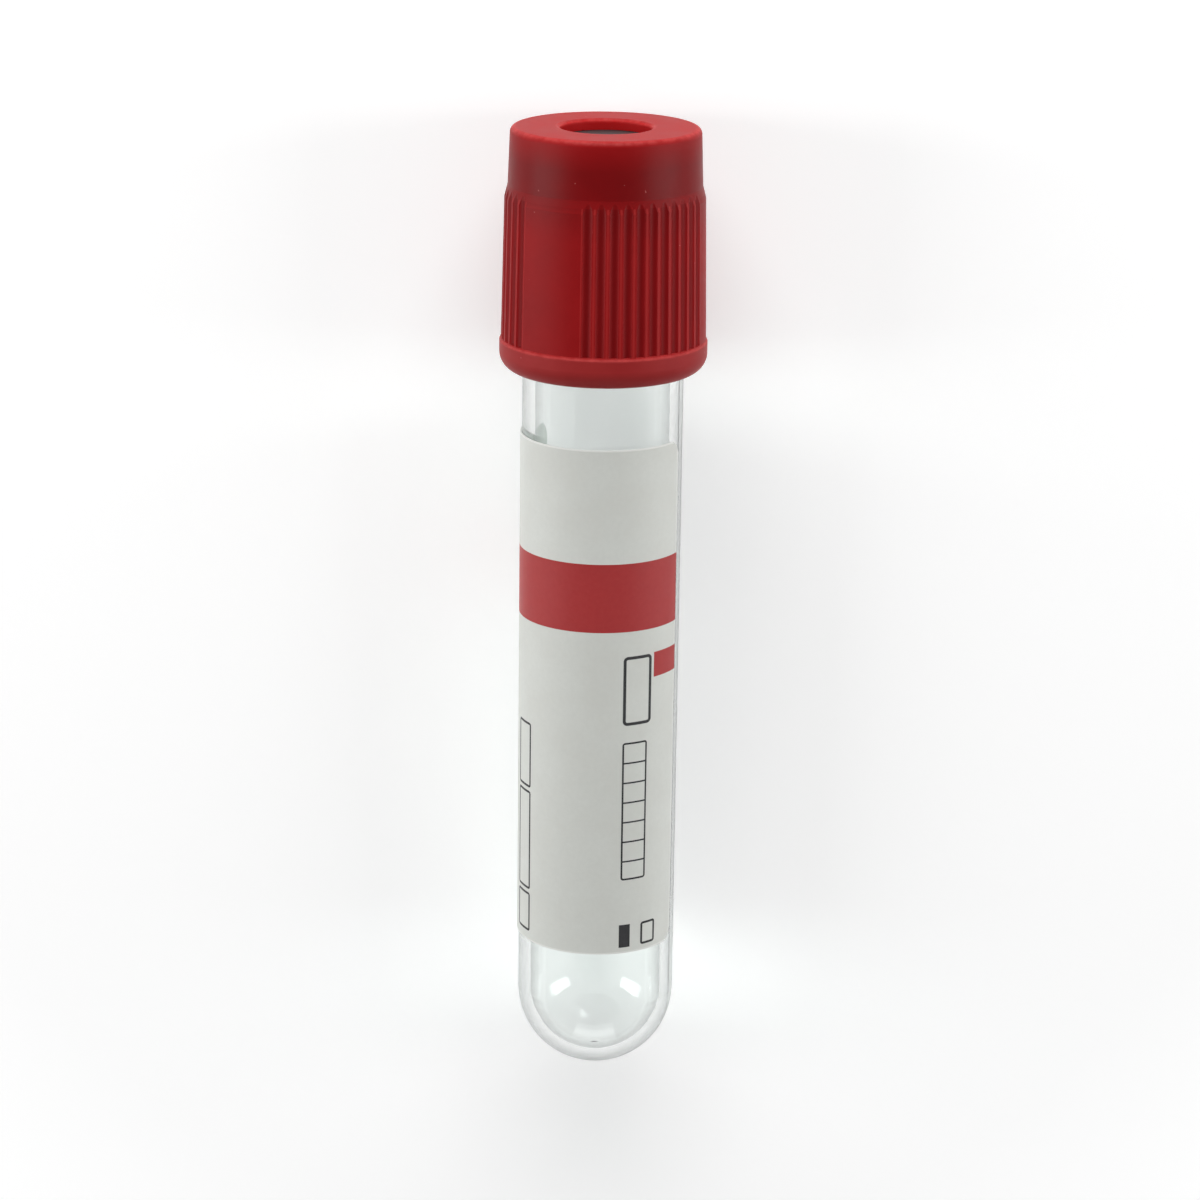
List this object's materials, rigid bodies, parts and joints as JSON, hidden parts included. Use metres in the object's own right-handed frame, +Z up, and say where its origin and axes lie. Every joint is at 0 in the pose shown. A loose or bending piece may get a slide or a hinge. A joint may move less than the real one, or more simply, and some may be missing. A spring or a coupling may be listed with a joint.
{
  "type": "blood collection tube",
  "caption": "Evacuated glass tube for a blood sample, with a round bottom, a wrapped paper label, and a red fluted pull-off closure that holds a pierceable rubber stopper.",
  "frame": {"origin": "on the ground, under the middle of the lying tube's bounding box", "axes": "+Y towards the closure, +Z up; the tube leans up towards its closure by about 1.9 degrees because the closure's band is wider than the glass"},
  "size_m": [0.0167, 0.0794, 0.0168],
  "materials": {
    "tube": "clear smooth glass",
    "label": "matt white paper with a red band",
    "stopper": "dark matt rubber",
    "cap": "red moulded plastic with a soft sheen"
  },
  "bodies": {
    "sample_tube": {"tube": "tube", "label": "label"},
    "closure": {"cap": "cap", "stopper": "stopper"}
  },
  "joints": [
    {"name": "closure_pull", "type": "slide", "parent": "sample_tube", "child": "closure", "axis": [0, 0.9994, 0.0337], "range_m": [0, 0.025]}
  ]
}
